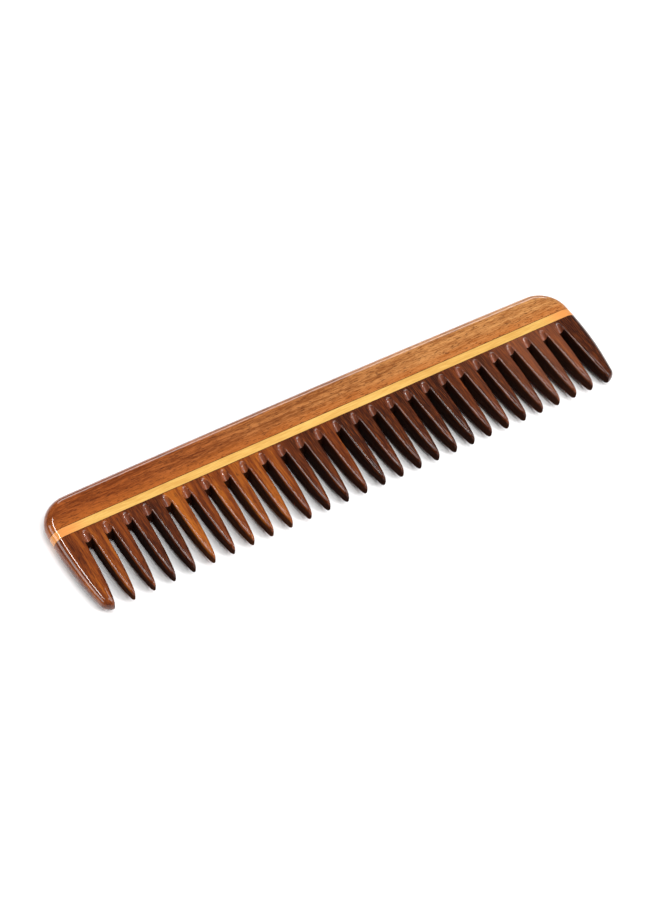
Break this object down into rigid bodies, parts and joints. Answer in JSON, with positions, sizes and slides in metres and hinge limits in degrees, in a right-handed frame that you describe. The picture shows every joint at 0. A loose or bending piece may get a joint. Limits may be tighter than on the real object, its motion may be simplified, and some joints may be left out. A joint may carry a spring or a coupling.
{
  "type": "wide tooth comb",
  "caption": "Straight wide-tooth hair comb laminated from a wooden back rail, a thin pale strip and a dark board cut into thick tapered teeth.",
  "frame": {"origin": "middle of the comb's footprint, on the surface it lies flat on", "axes": "+X along the comb, +Y from the tooth tips to the back edge, +Z through the thickness"},
  "size_m": [0.19, 0.042, 0.007],
  "materials": {
    "rail_wood": "gloss",
    "strip_wood": "gloss",
    "tooth_wood": "gloss",
    "glue": "satin"
  },
  "bodies": {
    "root": {"back_rail": "rail_wood", "accent_strip": "strip_wood", "glue_line_upper": "glue", "glue_line_lower": "glue", "tooth_board_1": "tooth_wood", "tooth_board_2": "tooth_wood", "tooth_board_3": "tooth_wood", "tooth_board_4": "tooth_wood"}
  },
  "joints": []
}
